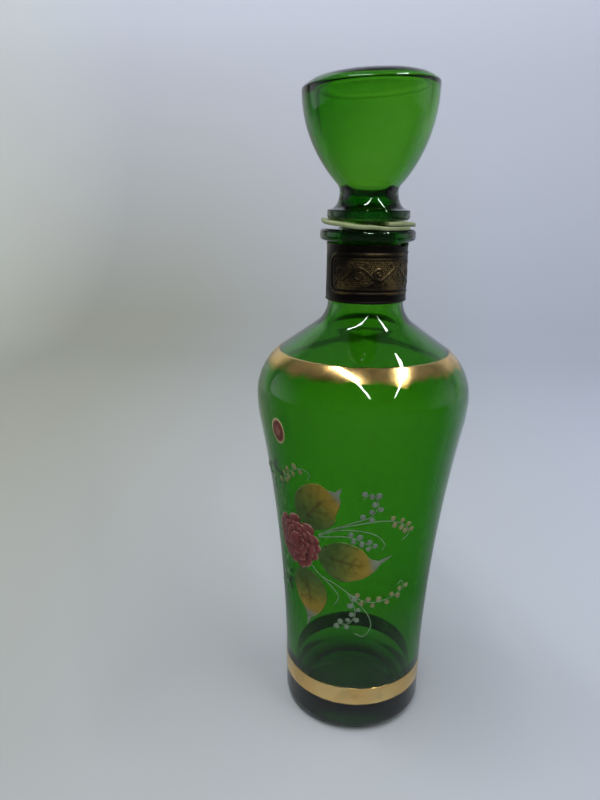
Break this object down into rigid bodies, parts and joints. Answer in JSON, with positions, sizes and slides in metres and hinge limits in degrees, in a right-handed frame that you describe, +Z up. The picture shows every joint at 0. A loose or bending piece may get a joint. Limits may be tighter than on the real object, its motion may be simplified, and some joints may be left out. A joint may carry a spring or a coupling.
{
  "type": "glass decanter with stopper",
  "caption": "Tall green glass decanter with flared body, gilt bands, floral transfer, metal neck band and a hollow lift-out stopper, for holding and pouring liqueur.",
  "frame": {"origin": "centre of the foot on the surface that the decanter stands on", "axes": "+Z up the axis of the bottle, -Y towards the front"},
  "size_m": [0.098, 0.098, 0.3],
  "materials": {
    "green_glass": "clear polished",
    "stopper_glass": "clear polished",
    "sleeve_plastic": "translucent satin",
    "ring_plastic": "aged translucent satin",
    "antique_metal": "embossed, darkened",
    "gilding": "worn burnished gilt",
    "fired_enamel": "satin fired print",
    "label_film": "gloss film"
  },
  "bodies": {
    "bottle": {"bottle_glass": "green_glass", "neck_band": "antique_metal", "shoulder_gilt_band": "gilding", "foot_gilt_band": "gilding", "floral_transfer": "fired_enamel", "oval_label": "label_film"},
    "sleeve": {"stopper_sleeve": "sleeve_plastic", "seal_ring": "ring_plastic"},
    "stopper": {"stopper_glass": "stopper_glass"}
  },
  "joints": [
    {"name": "stopper_lift", "type": "slide", "parent": "bottle", "child": "sleeve", "axis": [0, 0, 1], "range_m": [0, 0.06]},
    {"name": "stopper_turn", "type": "hinge", "parent": "sleeve", "child": "stopper", "pos_m": [0, 0, 0.242], "axis": [0, 0, 1], "continuous": true}
  ]
}
